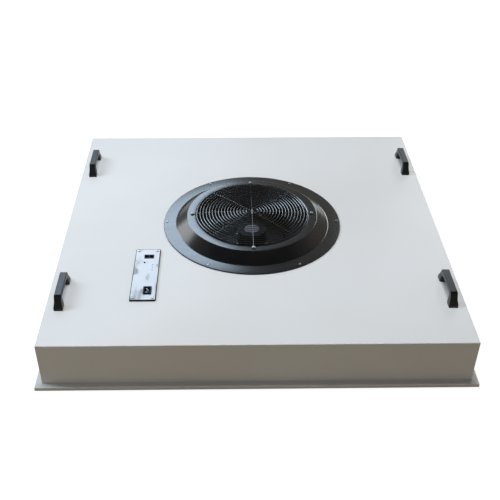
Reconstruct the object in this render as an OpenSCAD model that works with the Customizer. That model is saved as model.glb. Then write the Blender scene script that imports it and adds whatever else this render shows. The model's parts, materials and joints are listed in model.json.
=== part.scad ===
// Ultra-thin fan filter unit for a cleanroom ceiling.
// Millimetres, +Z up. The origin is the centre of the footprint, on the plane the lip stands on.
// The connection panel lies to -X, with its mains inlet towards -Y.

/* [Case] */
// Width of the case across its walls, along X
case_w = 1175; // [1100:1:1300]
// Depth of the case across its walls, along Y
case_d = 1175; // [1100:1:1300]
// Height from the lip's lower edge to the top of the case
case_h = 145; // [140:1:180]
// Thickness of the folded sheet
sheet = 1.2; // [0.8:0.1:1.5]
// Outside radius of every fold
fold_r = 2; // [1.8:0.1:4]
// How far the lip stands out from the walls
lip_w = 18.5; // [16:0.5:30]
// Height of the lip's front face
lip_h = 10.6; // [9:0.1:20]
// Thickness of the lip's closed hem
hem_t = 2.4; // [2:0.1:4]
// Diameter of the round hole under the inlet ring
inlet_hole_d = 456; // [420:1:468]

/* [Inlet ring] */
// Outer diameter of the ring's flange
ring_d = 564; // [556:1:620]
// Thickness of the ring's flange
ring_flange_t = 4; // [3:0.5:6]
// Diameter at the foot of the cone
cone_base_d = 484; // [480:1:520]
// Diameter at the top of the cone
cone_top_d = 414; // [408:1:430]
// Height of the raised land above the case
land_h = 32.4; // [24:0.1:40]
// Diameter of the mouth inside the land
mouth_d = 350; // [340:1:352]
// Wall thickness of the moulding
ring_t = 3; // [2:0.5:4]
// Inside diameter of the throat that enters the impeller
throat_d = 244; // [220:1:248]
// Number of screws round the flange
ring_screw_n = 6; // [4:1:12]
// Distance of each flange screw from the flange's rim
ring_screw_inset = 10; // [8:0.5:14]

/* [Finger guard] */
// Number of wire rings
guard_ring_n = 17; // [8:1:17]
// Spacing of the wire rings
guard_pitch = 9.8; // [9:0.1:9.8]
// Radius of the innermost ring
guard_first_r = 19; // [12:0.5:19]
// Diameter of the ring wire
guard_wire_d = 2.2; // [1.6:0.1:2.6]
// Diameter of the spoke wire
spoke_wire_d = 2.8; // [2.6:0.1:3.6]
// Rise of the dome at its centre
guard_rise = 7; // [3:0.5:12]
// Radius at which the four eyelets are screwed down
eyelet_at_r = 190; // [188:0.5:193]
// Depth to which a ring wire is welded into a spoke
weld_depth = 0.5; // [0.3:0.1:0.8]

/* [Handles] */
// Overall length of a handle
handle_l = 146.8; // [140:0.2:170]
// Spacing of a handle's two screws
handle_hole_l = 120; // [116:1:126]
// Height of a handle
handle_h = 40; // [36:1:50]
// Width of a handle at its feet
handle_foot_w = 26; // [24:0.5:32]
// Width of a handle's grip
handle_grip_w = 20.6; // [18:0.2:22]
// Thickness of the grip
handle_grip_t = 12; // [9:0.5:14]
// Length of the grip's flat top
handle_top_l = 105; // [96:1:112]
// Length of the finger gap at the foot
handle_gap_l = 93.6; // [84:0.2:98]
// Distance of a handle's centre line from the case's side
handle_inset_x = 38.5; // [30:0.5:60]
// Distance of a handle's centre from the case's front or rear
handle_inset_y = 219.5; // [120:0.5:300]

/* [Panel] */
// Width of the connection panel
panel_w = 71; // [66:0.5:80]
// Length of the connection panel
panel_l = 244; // [236:1:270]
// Distance of the panel's centre line from the case's left side
panel_inset_x = 268; // [200:0.5:270]
// Distance of the panel's centre from the case's front
panel_inset_y = 309; // [240:0.5:320]
// Thickness of the panel plate
plate_t = 1.5; // [1:0.1:3]
// Thickness of the rubber gasket under the plate
gasket_t = 4; // [2:0.5:6]
// Distance of the panel screws from the plate's edges
panel_screw_inset = 7.5; // [6:0.5:8]
// Diameter of the small push key
key_d = 5.4; // [4:0.1:7]
// Travel of the push key
key_travel = 0.8; // [0.4:0.1:1]
// Diameter of each lamp lens
lamp_d = 3; // [2:0.1:4]

/* [Fan] */
// Outer diameter of the impeller
impeller_d = 400; // [380:1:420]
// Number of blades
blade_n = 7; // [5:1:11]
// Thickness of a blade
blade_t = 2.5; // [1.5:0.1:4]
// Thickness of the impeller's discs
disc_t = 2; // [1.5:0.1:3]
// Height of the rotor's top above the lip's lower edge
rotor_top_z = 121; // [119:0.5:123]
// Outer diameter of the rotor bell
rotor_d = 94; // [88:1:100]
// Diameter of the plain badge on the rotor
badge_d = 48; // [30:1:60]
// Diameter of the shaft
shaft_d = 8; // [6:0.5:10]
// Radial clearance of the running fits
run_clear = 0.03; // [0.01:0.01:0.08]
// Width of the square fan deck
deck_w = 520; // [500:1:560]
// Thickness of the fan deck
deck_t = 2; // [1.5:0.1:3]

/* [Filter] */
// Height of the filter frame
filter_h = 50; // [46:1:52]
// Height of the filter frame's foot above the lip's lower edge
filter_z = 6; // [5:0.5:8]
// Gap between the filter frame and the case's walls
filter_gap = 2.3; // [1.5:0.1:4]
// Width of the frame's flanges
filter_flange_w = 20; // [16:1:24]
// Wall thickness of the frame's extrusion
filter_wall = 1.6; // [1.2:0.1:3]
// Spacing of the pleats
pleat_pitch = 12; // [10:0.5:20]
// Thickness of the pleated medium
medium_t = 0.6; // [0.4:0.1:1]
// Thickness of the filter's gasket
filter_gasket_t = 5; // [3:0.5:6]
// Thickness of the face guard
face_guard_t = 1; // [0.8:0.1:2]
// Number of windows along each side of the face guard
face_cells = 22; // [10:1:24]
// Width of the face guard's bars
face_bar_w = 3; // [2:0.5:5]

/* [Hidden] */
$fn = 96;
eps = 0.01;
cut = 1;            // how far a cutting shape runs past the face that it cuts
hole_clear = 0.1;   // radial clearance of a screw in its hole

// Case
half_w = case_w / 2;
half_d = case_d / 2;
inner_half_w = half_w - sheet;
inner_half_d = half_d - sheet;
under_top_z = case_h - sheet;

// Inlet ring, with heights measured from the case's top
cone_base_r = cone_base_d / 2;
cone_top_r = cone_top_d / 2;
mouth_r = mouth_d / 2;
throat_r = throat_d / 2;
land_z = case_h + land_h;
cone_angle = atan2(land_h - ring_flange_t, cone_base_r - cone_top_r);
cone_skin = ring_t / sin(cone_angle);
mouth_roll_r = 8;
mouth_wall_in = 8;          // how far the mouth's wall leans in by the level of the case
shelf_drop = 9;             // fall of the shelf between the mouth's wall and the throat
bell_r = 17;                // radius of the throat's rolled entry
eye_overlap = 4;            // how far the throat reaches into the impeller's eye
eye_clear = 2;              // radial gap between the throat and the eye
throat_z = rotor_top_z - eye_overlap;
ring_screw_r = ring_d / 2 - ring_screw_inset;
small_screw_r = 2;

// Finger guard
wire_r = guard_wire_d / 2;
spoke_r = spoke_wire_d / 2;
spoke_z = land_z + spoke_r;
eyelet_r = 5.2;
guard_last_r = guard_first_r + (guard_ring_n - 1) * guard_pitch;
spoke_end_r = eyelet_at_r - eyelet_r;
dome_r = (pow(spoke_end_r, 2) + pow(guard_rise, 2)) / (2 * guard_rise);
dome_z = spoke_z + guard_rise - dome_r;
ring_lift = spoke_r + wire_r - weld_depth;

// Handles
handle_screw_r = 3;
handle_x = half_w - handle_inset_x;
handle_y = half_d - handle_inset_y;

// Panel
panel_x = panel_inset_x - half_w;
panel_y = panel_inset_y - half_d;
plate_z = case_h + gasket_t;
plate_top = plate_z + plate_t;
panel_hole_x = panel_w / 2 - panel_screw_inset;
panel_hole_y = panel_l / 2 - panel_screw_inset;
cutout_w = 2 * panel_hole_x - 8;
cutout_l = 2 * panel_hole_y - 12;
box_wall = 1;
box_w = panel_w + 17;
box_l = panel_l + 16;
box_z = case_h - 40;
board_t = 1.6;
board_z = plate_top - 17;
board_w = cutout_w - 2;
board_l = 165;
board_y = panel_hole_y - board_l / 2;
// relay, driver and chip under the board: centre [x, y], width, length and height
board_blocks = [[0, -52, 30, 26, 20], [0, 14, 34, 22, 6], [-6, 46, 14, 14, 3]];
capacitor_r = 8;
capacitor_h = 18;
capacitor_at = [11, -22];
pillar_r = 3;
jack_w = 14.2;
jack_l = 19.4;
jack_gap = 0.3;
jack_x = 4.75;
jack_y = 85;
jack_rise = 0.6;
jack_top = plate_top + jack_rise;
jack_mouth_w = 11.7;
jack_mouth_l = 8.4;
jack_latch_w = 6.2;
jack_latch_l = 4.2;
jack_depth = 12.5;
key_x = -7.1;
key_y = 54.5;
key_rise = 1.8;
key_clear = 0.3;
key_stem_r = 1.2;
switch_h = 9;
lamp_x = 17.5;
lamp_y = [44, 31, 17.5];
lamp_rise = 0.5;
power_lamp_at = [2.5, 56.5];
sensor_at = [-19.9, 53.5];
inlet_x = 11.1;
inlet_y = -80.2;
inlet_w = 24.3;
inlet_l = 31;
inlet_rise = 3.4;
inlet_mouth_w = 16.6;
inlet_mouth_l = 24;
inlet_chamfer = 5;
inlet_depth = 17;
inlet_body_h = 27;

// Filter
frame_half_w = inner_half_w - filter_gap;
frame_half_d = inner_half_d - filter_gap;
filter_top = filter_z + filter_h;
seat_z = filter_top + filter_gasket_t;
seat_t = 1.5;
seat_w = 20;
seat_leg = 20;
lining_t = 12;
guard_floor = filter_z + filter_wall;
pack_z = guard_floor + face_guard_t;
pack_top = filter_top - filter_wall;
clamp_l = 40;
clamp_t = 1.5;
clamp_at = 0.3;     // share of the side's length from its middle to each clamp

// Fan
deck_z = filter_top + 11;   // room for the motor cable between the filter and the deck
deck_top = deck_z + deck_t;
stud_at = deck_w / 2 - 25;
stud_r = 4;
stud_thread_r = 3;
mount_r = 11;
mount_h = 12;
nut_h = 5;
base_t = 4;
base_r = 45;
base_top = deck_top + base_t;
bearing_r = 11;
bearing_h = 7;
tube_r = bearing_r + 2;
rotor_r = rotor_d / 2;
rotor_skin = 4;
rotor_top_t = 3;
rotor_rim = 1.5;
rotor_flange_r = rotor_r + 13;
backplate_z = base_top + 3;
backplate_top = backplate_z + disc_t;
rotor_seat = backplate_top;
hub_hole_r = rotor_r - 3;
rotor_floor = rotor_top_z - rotor_rim;
bell_inner_r = rotor_r - rotor_skin;
magnet_t = 4;
air_gap = 0.6;
stator_r = bell_inner_r - magnet_t - air_gap;
stator_z = rotor_seat + 4;
stator_h = 22;
tube_top = rotor_floor - rotor_top_t - 2;
impeller_r = impeller_d / 2;
eye_r = throat_r + 2 + eye_clear;
rim_z = rotor_top_z - 16;
blade_in_r = eye_r - 24;
blade_sweep = 48;
blade_curve_r = 150;
shroud_turn_z = rotor_top_z - 8;

// Cable, which drops through the deck past the gland and clear of the rubber mount
cable_r = 3;
cable_bend = 7;
cable_tail = 18;
gland_r = 6;
gland_y = 108;
gland_nut_h = 5;
gland_cap_l = 14;
grommet_r = 6;
grommet_lip = 1.2;
mount_clear = 5;
cable_y = panel_y + gland_y;
cable_x0 = panel_x + box_w / 2;
cable_drop_x = max(cable_x0 + gland_cap_l + cable_bend + 15,
                   mount_r + mount_clear + grommet_r + 2 - stud_at);
cable_z = box_z + 12;
cable_low_z = deck_z - grommet_lip - cable_bend - 0.4;
cable_end_r = 28;

// A closed outline whose corners [x, y, radius] are rounded by arcs
function unit(v) = v / norm(v);
function xy(p) = [p[0], p[1]];
function corner(p, a, b, r, steps) =
    let (u = unit(a - p), v = unit(b - p), half = acos(u * v) / 2,
         centre = p + unit(u + v) * r / sin(half),
         s = p + u * r / tan(half) - centre, e = p + v * r / tan(half) - centre,
         a0 = atan2(s[1], s[0]), turn = ((atan2(e[1], e[0]) - a0 + 540) % 360) - 180)
    [for (k = [0 : steps]) centre + r * [cos(a0 + turn * k / steps), sin(a0 + turn * k / steps)]];
function rounded(c, steps = 6) = [
    for (i = [0 : len(c) - 1])
        let (n = len(c), p = xy(c[i]), a = xy(c[(i + n - 1) % n]), b = xy(c[(i + 1) % n]))
        each c[i][2] > 0 ? corner(p, a, b, c[i][2], steps) : [p]
];
function soft_rectangle(w, l, r) = rounded([[-w / 2, -l / 2, r], [w / 2, -l / 2, r],
                                            [w / 2, l / 2, r], [-w / 2, l / 2, r]]);

// Height of the guard's spokes at a distance from the axis
function spoke_height(r) = dome_z + sqrt(pow(dome_r, 2) - pow(r, 2));

module box(w, l, z0, z1) {
    translate([-w / 2, -l / 2, z0]) cube([w, l, z1 - z0]);
}

module plate(w, l, z0, z1, r) {
    translate([0, 0, z0]) linear_extrude(z1 - z0) polygon(soft_rectangle(w, l, r));
}

module rod(r, z0, z1) {
    translate([0, 0, z0]) cylinder(r = r, h = z1 - z0);
}

module at_corners(x, y) {
    for (sx = [-1, 1], sy = [-1, 1]) translate([sx * x, sy * y, 0]) children();
}

module at_panel(p = [0, 0]) {
    translate([panel_x + p[0], panel_y + p[1], 0]) children();
}

module around(n, r, first = 0) {
    for (i = [0 : n - 1]) rotate(first + i * 360 / n) translate([r, 0, 0]) children();
}

// A screw with a domed head that stands on z = top and a shank down to z = tip
module pan_screw(r, head_r, head_h, top, tip) {
    rod(r, tip, top + eps);
    translate([0, 0, top]) rotate_extrude() polygon(rounded([[0, 0, 0], [head_r, 0, 0],
        [head_r, head_h, head_h * 0.7], [0, head_h, 0]], 4));
}

// A screw seen from below: head under z = seat, shank up to z = tip
module hung_screw(r, head_r, head_h, seat, tip) {
    rod(r, seat - eps, tip);
    difference() {
        rod(head_r, seat - head_h, seat);
        translate([0, 0, seat - head_h - cut]) cylinder(r = r * 0.9, h = cut + head_h / 2, $fn = 6);
    }
}

// ---- Case ----

// Section of the folded hat: the outside at skin = 0, the inside at skin = sheet
function hat_section(half, skin, foot) =
    let (lip = half + lip_w - (skin > 0 ? hem_t : 0), wall = half - skin,
         top = case_h - skin, shelf = lip_h - skin, r_out = fold_r - skin,
         r_in = fold_r - sheet + skin)
    rounded([[-lip, foot, 0], [-lip, shelf, r_out], [-wall, shelf, r_in], [-wall, top, r_out],
             [wall, top, r_out], [wall, shelf, r_in], [lip, shelf, r_out], [lip, foot, 0]], 4);

module hat(skin, foot) {
    span = 2 * (case_w + case_d);
    intersection() {
        rotate([90, 0, 0]) translate([0, 0, -span / 2]) linear_extrude(span)
            polygon(hat_section(half_w, skin, foot));
        rotate([90, 0, 90]) translate([0, 0, -span / 2]) linear_extrude(span)
            polygon(hat_section(half_d, skin, foot));
    }
}

module case() {
    color("whitesmoke") difference() {
        hat(0, 0);
        hat(sheet, -cut);
        rod(inlet_hole_d / 2, under_top_z - cut, case_h + cut);
        around(ring_screw_n, ring_screw_r) rod(small_screw_r + hole_clear, under_top_z - cut, case_h + cut);
        at_handles() at_handle_holes() rod(handle_screw_r + hole_clear, under_top_z - cut, case_h + cut);
        at_panel() plate(cutout_w, cutout_l, under_top_z - cut, case_h + cut, 3);
        at_panel() at_corners(panel_hole_x, panel_hole_y)
            rod(small_screw_r + hole_clear, under_top_z - cut, case_h + cut);
    }
}

module square_frame(out_w, out_d, width, z0, z1) {
    difference() {
        box(out_w, out_d, z0, z1);
        box(out_w - 2 * width, out_d - 2 * width, z0 - cut, z1 + cut);
    }
}

module filter_seat() {
    color("lightgray") {
        square_frame(2 * inner_half_w, 2 * inner_half_d, seat_w, seat_z, seat_z + seat_t);
        square_frame(2 * inner_half_w, 2 * inner_half_d, seat_t, seat_z, seat_z + seat_leg);
    }
}

module acoustic_lining() {
    color("dimgray") intersection() {
        square_frame(case_w, case_d, lining_t + sheet, seat_z + seat_leg, case_h);
        hat(sheet, 0);
    }
}

// ---- Inlet ring and guard ----

module inlet_ring() {
    wall_r = mouth_r - mouth_wall_in;
    upper = [
        [ring_d / 2, 0, 0], [ring_d / 2, ring_flange_t, 1.2], [cone_base_r, ring_flange_t, 9],
        [cone_top_r, land_h, 5], [mouth_r, land_h, mouth_roll_r], [wall_r, 0, 18],
        [throat_r, -shelf_drop, bell_r], [throat_r, throat_z - case_h, 0]
    ];
    lower = [
        [throat_r + 2, throat_z - case_h, 0], [throat_r + 2, -shelf_drop - ring_t, bell_r - ring_t],
        [wall_r + ring_t, -ring_t, 18 + ring_t], [mouth_r + ring_t, land_h - ring_t, mouth_roll_r - ring_t],
        [cone_top_r - ring_t / 2, land_h - ring_t, 2], [cone_base_r - cone_skin, 0, 0]
    ];
    color("#1b1c1e") difference() {
        translate([0, 0, case_h]) rotate_extrude() polygon(rounded(concat(upper, lower), 8));
        around(ring_screw_n, ring_screw_r)
            rod(small_screw_r + hole_clear, case_h - cut, case_h + ring_flange_t + cut);
        around(4, eyelet_at_r) rod(small_screw_r + hole_clear, case_h, land_z + cut);
    }
}

module ring_screws() {
    color("silver") around(ring_screw_n, ring_screw_r)
        pan_screw(small_screw_r, 3.6, 1.8, case_h + ring_flange_t, case_h - 6);
}

module wire_ring(r, z, wire) {
    translate([0, 0, z]) rotate_extrude() translate([r, 0]) circle(wire);
}

// One domed spoke wire from end to end, in the X-Z plane
module spoke(end_r) {
    span = asin(end_r / dome_r);
    translate([0, 0, dome_z]) rotate([90, 90 + span - 180, 0]) rotate_extrude(angle = 2 * span)
        translate([dome_r, 0]) circle(spoke_r);
}

module finger_guard() {
    color("#5c6066") {
        for (i = [0 : guard_ring_n - 1]) {
            r = guard_first_r + i * guard_pitch;
            wire_ring(r, spoke_height(r) + ring_lift, wire_r);
        }
        for (a = [0, 90]) rotate(a) spoke(spoke_end_r);
        for (a = [45, 135]) rotate(a) spoke(guard_last_r);
        around(4, eyelet_at_r) wire_ring(eyelet_r, spoke_z, spoke_r);
    }
}

module guard_screws() {
    color("silver") around(4, eyelet_at_r)
        pan_screw(small_screw_r, 4.6, 2.4, land_z + spoke_wire_d, land_z - 10);
}

// ---- Handles ----

module at_handles() {
    for (sx = [-1, 1], sy = [-1, 1]) translate([sx * handle_x, sy * handle_y, 0]) children();
}

module at_handle_holes() {
    for (s = [-1, 1]) translate([0, s * handle_hole_l / 2, 0]) children();
}

module handle() {
    half_l = handle_l / 2;
    top_l = handle_top_l / 2;
    gap_l = handle_gap_l / 2;
    roof = handle_h - handle_grip_t;
    arch = [
        [-half_l, 0, 0], [-half_l, 5, 3], [-top_l - 3, handle_h, 9], [top_l + 3, handle_h, 9],
        [half_l, 5, 3], [half_l, 0, 0], [gap_l, 0, 0], [gap_l - 3, roof, 14], [3 - gap_l, roof, 14],
        [-gap_l, 0, 0]
    ];
    foot = handle_foot_w / 2;
    grip = handle_grip_w / 2;
    front = [
        [-foot, 0, 0], [-foot, 6, 3], [-grip, 24, 14], [-grip, handle_h, 3], [grip, handle_h, 3],
        [grip, 24, 14], [foot, 6, 3], [foot, 0, 0]
    ];
    color("#17181a") translate([0, 0, case_h]) difference() {
        intersection() {
            translate([-foot, 0, 0]) rotate([90, 0, 90]) linear_extrude(2 * foot) polygon(rounded(arch));
            translate([0, half_l, 0]) rotate([90, 0, 0]) linear_extrude(2 * half_l) polygon(rounded(front));
        }
        at_handle_holes() rod(handle_screw_r + hole_clear, -cut, 15);
    }
}

module handle_front_left() { translate([-handle_x, -handle_y, 0]) handle(); }
module handle_front_right() { translate([handle_x, -handle_y, 0]) handle(); }
module handle_rear_left() { translate([-handle_x, handle_y, 0]) handle(); }
module handle_rear_right() { translate([handle_x, handle_y, 0]) handle(); }

module handle_screws() {
    color("silver") at_handles() at_handle_holes()
        hung_screw(handle_screw_r, 5, 3, under_top_z, case_h + 13);
}

// ---- Connection panel ----

module panel_holes(z0, z1) {
    at_corners(panel_hole_x, panel_hole_y) rod(small_screw_r + hole_clear, z0, z1);
}

module panel_gasket() {
    color("black") at_panel() difference() {
        plate(panel_w - 0.6, panel_l - 0.6, case_h, plate_z, 3);
        plate(cutout_w, cutout_l, case_h - cut, plate_z + cut, 3);
        panel_holes(case_h - cut, plate_z + cut);
    }
}

module panel_plate() {
    z0 = plate_z - cut;
    z1 = plate_top + cut;
    color("gainsboro") at_panel() difference() {
        plate(panel_w, panel_l, plate_z, plate_top, 3);
        panel_holes(z0, z1);
        translate([jack_x, jack_y, 0])
            box(2 * jack_w + 3 * jack_gap, jack_l + 2 * jack_gap, z0, z1);
        translate([inlet_x, inlet_y, 0]) box(inlet_w - 4, inlet_l - 4, z0, z1);
        translate([key_x, key_y, 0]) rod(key_d / 2 + key_clear, z0, z1);
        at_lamps() rod(lamp_d / 2 + hole_clear, z0, z1);
        for (p = [power_lamp_at, sensor_at]) translate(p) rod(lamp_d / 2 + hole_clear, z0, z1);
    }
}

module panel_screws() {
    color("silver") at_panel() at_corners(panel_hole_x, panel_hole_y)
        pan_screw(small_screw_r, 3.8, 1.8, plate_top, under_top_z - 6);
}

module data_jack(side) {
    mouth_y = 1.5;
    color("#101113") at_panel([jack_x + side * (jack_w + jack_gap) / 2, jack_y]) difference() {
        box(jack_w, jack_l, board_z, jack_top);
        translate([0, mouth_y, 0]) box(jack_mouth_w, jack_mouth_l, jack_top - jack_depth, jack_top + cut);
        translate([0, mouth_y - jack_mouth_l / 2 - jack_latch_l / 2 + eps, 0])
            box(jack_latch_w, jack_latch_l, jack_top - jack_depth, jack_top + cut);
    }
}

module data_jack_left() { data_jack(-1); }
module data_jack_right() { data_jack(1); }

module jack_contacts() {
    pitch = 1.27;
    rail_y = 1.5 + jack_mouth_l / 2;
    low = jack_top - jack_depth;
    spring = [[0, 0], [-0.6, 0], [-3.6, jack_depth - 4], [-3.0, jack_depth - 4]];
    color("gold") at_panel([jack_x, jack_y])
        for (side = [-1, 1], k = [-2.5 : 2.5])
            translate([side * (jack_w + jack_gap) / 2 + k * pitch - 0.25, rail_y, low])
                rotate([90, 0, 90]) linear_extrude(0.5) polygon(spring);
}

function inlet_outline(w, l, c) = [
    [-w / 2, -l / 2], [w / 2 - c, -l / 2], [w / 2, c - l / 2], [w / 2, l / 2 - c],
    [w / 2 - c, l / 2], [-w / 2, l / 2]
];

module mains_inlet() {
    top = plate_top + inlet_rise;
    color("#0d0d0f") at_panel([inlet_x, inlet_y]) difference() {
        union() {
            plate(inlet_w, inlet_l, plate_top, top, 2);
            box(inlet_w - 5, inlet_l - 5, top - inlet_body_h, plate_top + eps);
        }
        translate([0, 0, top - inlet_depth]) linear_extrude(inlet_depth + cut)
            polygon(inlet_outline(inlet_mouth_w, inlet_mouth_l, inlet_chamfer));
        inlet_blades(top - inlet_body_h - cut, top - inlet_depth + cut, 0);
    }
}

// Two blades across the recess and a longer one on its chamfered side
module inlet_blades(z0, z1, longer) {
    for (s = [-1, 1]) translate([-2, s * 7, 0]) box(4, 2, z0, z1);
    translate([2, 0, 0]) box(4, 2, z0, z1 + longer);
}

module inlet_pins() {
    low = plate_top + inlet_rise - inlet_body_h - 6;
    high = plate_top + inlet_rise - 3;
    color("lightgray") at_panel([inlet_x, inlet_y]) inlet_blades(low, high, 1);
}

module at_lamps() {
    for (y = lamp_y) translate([lamp_x, y, 0]) children();
}

module lamp_pin() {
    lens = lamp_d / 2;
    rod(lens, board_z, plate_top);
    translate([0, 0, plate_top - eps]) rotate_extrude()
        polygon(rounded([[0, 0, 0], [lens, 0, 0], [lens, lamp_rise, lamp_rise * 0.8], [0, lamp_rise, 0]], 4));
}

module status_lamps() { color("#20242a") at_panel() at_lamps() lamp_pin(); }
module power_lamp() { color("#b3404a") at_panel(power_lamp_at) lamp_pin(); }
module sensor_lens() { color("#c8ccd0") at_panel(sensor_at) lamp_pin(); }

module key_switch() {
    color("#303236") at_panel([key_x, key_y]) difference() {
        box(6, 6, board_z, board_z + switch_h);
        rod(key_stem_r + run_clear, board_z + 1, board_z + switch_h + cut);
    }
}

module push_key() {
    crown = board_z + switch_h + key_travel + 0.15;
    color("#0b0b0c") at_panel([key_x, key_y]) {
        rod(key_stem_r, board_z + 1.2 + key_travel, crown + eps);
        translate([0, 0, crown]) rotate_extrude() polygon(rounded([[0, 0, 0], [key_d / 2, 0, 0],
            [key_d / 2, plate_top + key_rise - crown, 0.8], [0, plate_top + key_rise - crown, 0]], 4));
    }
}

module at_board() { at_panel([0, board_y]) children(); }

module at_pillars() {
    at_board() at_corners(board_w / 2 - 5, board_l / 2 - 5) children();
}

module circuit_board() {
    color("darkgreen") difference() {
        at_board() box(board_w, board_l, board_z - board_t, board_z);
        at_pillars() rod(1.5 + hole_clear, board_z - board_t - cut, board_z + cut);
    }
}

module board_parts() {
    low = board_z - board_t;
    color("#26282b") at_board() {
        for (b = board_blocks) translate([b[0], b[1], 0]) box(b[2], b[3], low - b[4], low);
        for (s = [-1, 1]) translate([s * capacitor_at[0], capacitor_at[1], 0])
            rod(capacitor_r, low - capacitor_h, low);
    }
}

module board_pillars() {
    color("goldenrod") at_pillars() {
        rod(pillar_r, box_z + box_wall, board_z - board_t);
        rod(1.5, board_z - board_t - eps, board_z + 0.5);
        rod(2.6, board_z, board_z + 1.6);
    }
}

module control_box() {
    color("lightgray") difference() {
        at_panel() box(box_w, box_l, box_z, under_top_z);
        at_panel() box(box_w - 2 * box_wall, box_l - 2 * box_wall, box_z + box_wall, under_top_z - box_wall);
        at_panel() plate(cutout_w, cutout_l, under_top_z - box_wall - cut, under_top_z + cut, 3);
        at_panel() panel_holes(under_top_z - box_wall - cut, under_top_z + cut);
        translate([cable_x0 - box_wall - cut, cable_y, cable_z]) rotate([0, 90, 0])
            rod(gland_r + hole_clear, 0, box_wall + 2 * cut);
    }
}

// ---- Motor cable ----

module along_x(x0, x1) {
    translate([x0, 0, 0]) rotate([0, 90, 0]) linear_extrude(x1 - x0) children();
}

// A tube of radius r along a route that never runs along Y, with a ring of points square to each bend
function along(route, i) = let (last = len(route) - 1)
    unit(route[min(i + 1, last)] - route[max(i - 1, 0)]);
function ring_at(p, dir, r, sides) =
    let (side = unit(cross(dir, [0, 1, 0])), up = cross(side, dir))
    [for (k = [0 : sides - 1]) p + r * (side * cos(k * 360 / sides) + up * sin(k * 360 / sides))];

module tube(route, r, sides = 12) {
    n = len(route);
    points = [for (i = [0 : n - 1]) each ring_at(route[i], along(route, i), r, sides)];
    skin = [
        for (i = [0 : n - 2], k = [0 : sides - 1])
            let (a = i * sides + k, b = i * sides + (k + 1) % sides)
            each [[a, b, b + sides], [a, b + sides, a + sides]]
    ];
    first = [for (k = [sides - 1 : -1 : 0]) k];
    last = [for (k = [0 : sides - 1]) (n - 1) * sides + k];
    polyhedron(points, concat([first], skin, [last]), convexity = 10);
}

// Points of a quarter bend at a corner, from direction a to direction b
function bend(corner, a, b, r) = [
    for (k = [0 : 5]) corner + r * (b * (1 - cos(k * 18)) - a * (1 - sin(k * 18)))
];

module cable_gland() {
    color("#222427") translate([0, cable_y, cable_z]) difference() {
        union() {
            along_x(cable_x0, cable_x0 + gland_cap_l) circle(gland_r + 2.5);
            along_x(cable_x0 - box_wall - gland_nut_h - 1, cable_x0 + eps) circle(gland_r);
            along_x(cable_x0 - box_wall - gland_nut_h, cable_x0 - box_wall) circle(gland_r + 3, $fn = 6);
        }
        along_x(cable_x0 - cable_tail - cut, cable_x0 + cable_tail + cut) circle(cable_r + hole_clear);
    }
}

module motor_cable() {
    drop = [cable_drop_x, cable_y];
    heading = -unit(drop);
    end = unit(drop) * cable_end_r;
    flat = [heading[0], heading[1], 0];
    color("#2b2d30") tube(concat(
        [[cable_x0 - cable_tail, cable_y, cable_z]],
        bend([drop[0], drop[1], cable_z], [1, 0, 0], [0, 0, -1], cable_bend),
        bend([drop[0], drop[1], cable_low_z], [0, 0, -1], flat, cable_bend),
        bend([end[0], end[1], cable_low_z], flat, [0, 0, 1], cable_bend),
        [[end[0], end[1], base_top + 2]]
    ), cable_r);
}

module at_cable_end() {
    rotate(atan2(cable_y, cable_drop_x)) translate([cable_end_r, 0, 0]) children();
}

module deck_grommet() {
    color("black") translate([cable_drop_x, cable_y, 0]) difference() {
        union() {
            rod(grommet_r, deck_z - grommet_lip, deck_top + grommet_lip);
            rod(grommet_r + 2, deck_top, deck_top + grommet_lip);
            rod(grommet_r + 2, deck_z - grommet_lip, deck_z);
        }
        rod(cable_r + hole_clear, deck_z - cut - grommet_lip, deck_top + cut + grommet_lip);
    }
}

// ---- Fan deck ----

module at_studs() { at_corners(stud_at, stud_at) children(); }

module fan_deck() {
    skirt = 10;
    color("lightgray") difference() {
        union() {
            box(deck_w, deck_w, deck_z, deck_top);
            square_frame(deck_w, deck_w, deck_t, deck_z - skirt, deck_top);
        }
        at_studs() rod(stud_thread_r + hole_clear, deck_z - cut, deck_top + cut);
        translate([cable_drop_x, cable_y, 0]) rod(grommet_r, deck_z - cut, deck_top + cut);
        at_cable_end() rod(cable_r + 2, deck_z - cut, deck_top + cut);
        around(4, base_r - 7, 45) rod(small_screw_r + hole_clear, deck_z - cut, deck_top + cut);
    }
}

module deck_studs() {
    color("silver") at_studs() {
        rod(stud_r, deck_top + mount_h, under_top_z);
        rod(stud_thread_r, deck_z - nut_h - 3, deck_top + mount_h + eps);
        rod(stud_r + 4, under_top_z - 2, under_top_z);
    }
}

module deck_mounts() {
    color("#1c1c1e") at_studs() difference() {
        rotate_extrude() polygon(rounded([[0, deck_top, 0], [mount_r, deck_top, 1],
            [mount_r - 2, deck_top + mount_h / 2, 3], [mount_r, deck_top + mount_h, 1],
            [0, deck_top + mount_h, 0]], 4));
        rod(stud_thread_r, deck_top - cut, deck_top + mount_h + cut);
    }
}

module deck_nuts() {
    color("silver") at_studs() difference() {
        union() {
            rod(stud_thread_r + 5, deck_z - 1, deck_z);
            translate([0, 0, deck_z - 1 - nut_h]) cylinder(r = stud_thread_r + 2.8, h = nut_h + eps, $fn = 6);
        }
        rod(stud_thread_r, deck_z - 2 - nut_h - cut, deck_z + cut);
    }
}

// ---- Motor and impeller ----

module motor_base() {
    color("#6e7378") difference() {
        union() {
            rod(base_r, deck_top, base_top);
            rod(tube_r, base_top - eps, tube_top);
        }
        rod(bearing_r, base_top + 1, tube_top + cut);
        rod(shaft_d / 2 + 2, deck_top - cut, base_top + 2);
        at_cable_end() rod(cable_r + hole_clear, deck_top - cut, base_top + cut);
        around(4, base_r - 7, 45) rod(small_screw_r + hole_clear, deck_top - cut, base_top + cut);
    }
}

module motor_screws() {
    color("silver") around(4, base_r - 7, 45)
        pan_screw(small_screw_r, 3.6, 1.6, base_top, deck_z - 4);
}

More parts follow.
